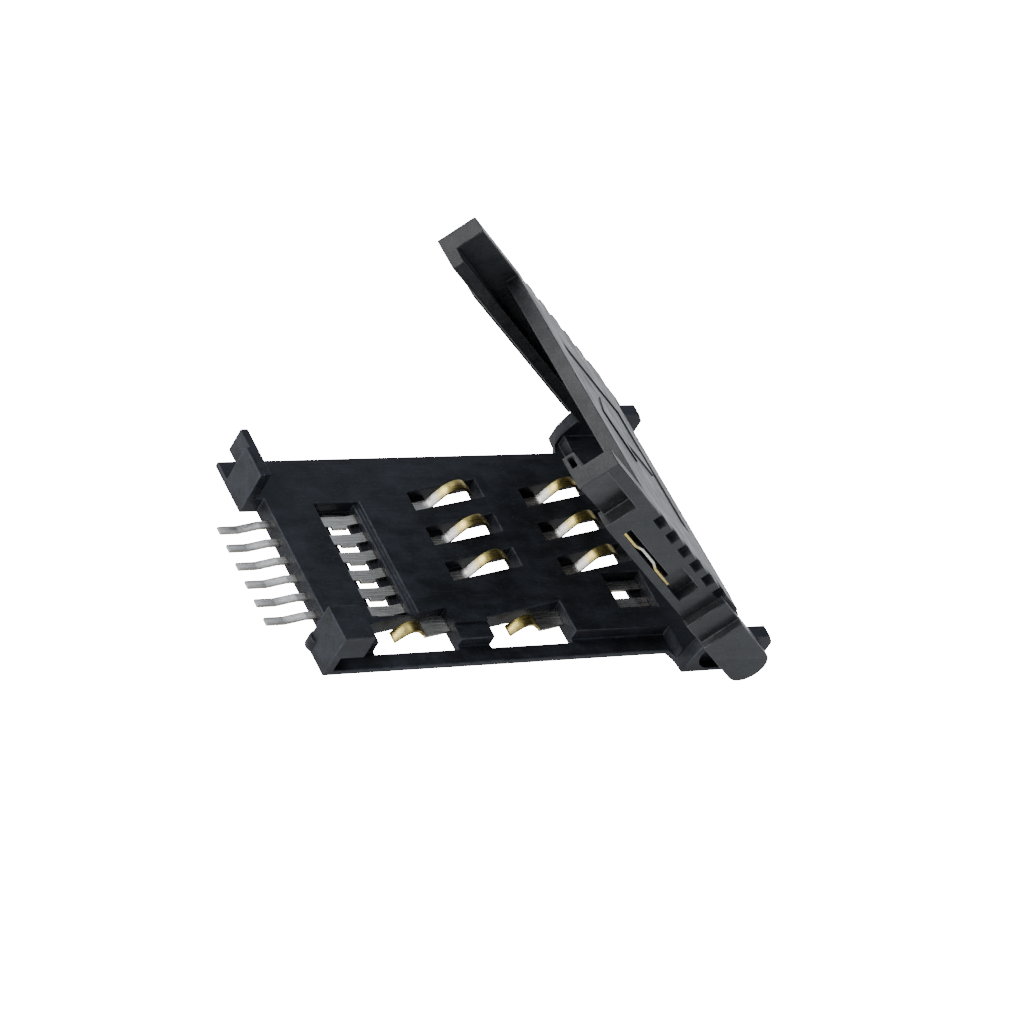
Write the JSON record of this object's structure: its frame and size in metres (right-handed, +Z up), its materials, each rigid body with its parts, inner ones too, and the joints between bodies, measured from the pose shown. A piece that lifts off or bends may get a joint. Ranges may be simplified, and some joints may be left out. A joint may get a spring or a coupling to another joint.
{
  "type": "sim card socket",
  "caption": "Board-mounted SIM card socket with a hinged slide-to-lock lid, sprung contacts with solder tails, and a lid-closed switch.",
  "frame": {"origin": "on the board plane, under the middle of the housing", "axes": "+X towards the hinge end along the card, +Z up from the board, +Y across, away from the switch contacts"},
  "size_m": [0.0314, 0.0194, 0.0177],
  "materials": {
    "housing_plastic": "moulded black plastic, satin",
    "lid_plastic": "moulded black plastic, satin",
    "contact_metal": "stamped copper alloy, tin tails and gold crests",
    "strip_metal": "stamped copper alloy, gold ends"
  },
  "bodies": {
    "base": {"housing": "housing_plastic", "card_contact_1": "contact_metal", "card_contact_2": "contact_metal", "card_contact_3": "contact_metal", "card_contact_4": "contact_metal", "card_contact_5": "contact_metal", "card_contact_6": "contact_metal", "switch_contact_1": "contact_metal", "switch_contact_2": "contact_metal"},
    "lid": {"lid": "lid_plastic", "switch_strip": "strip_metal"}
  },
  "joints": [
    {"name": "lid_hinge", "type": "hinge", "parent": "base", "child": "lid", "pos_m": [0.01226, 0, 0.0014], "axis": [0, 1, 0], "range_deg": [-39, 61]}
  ]
}
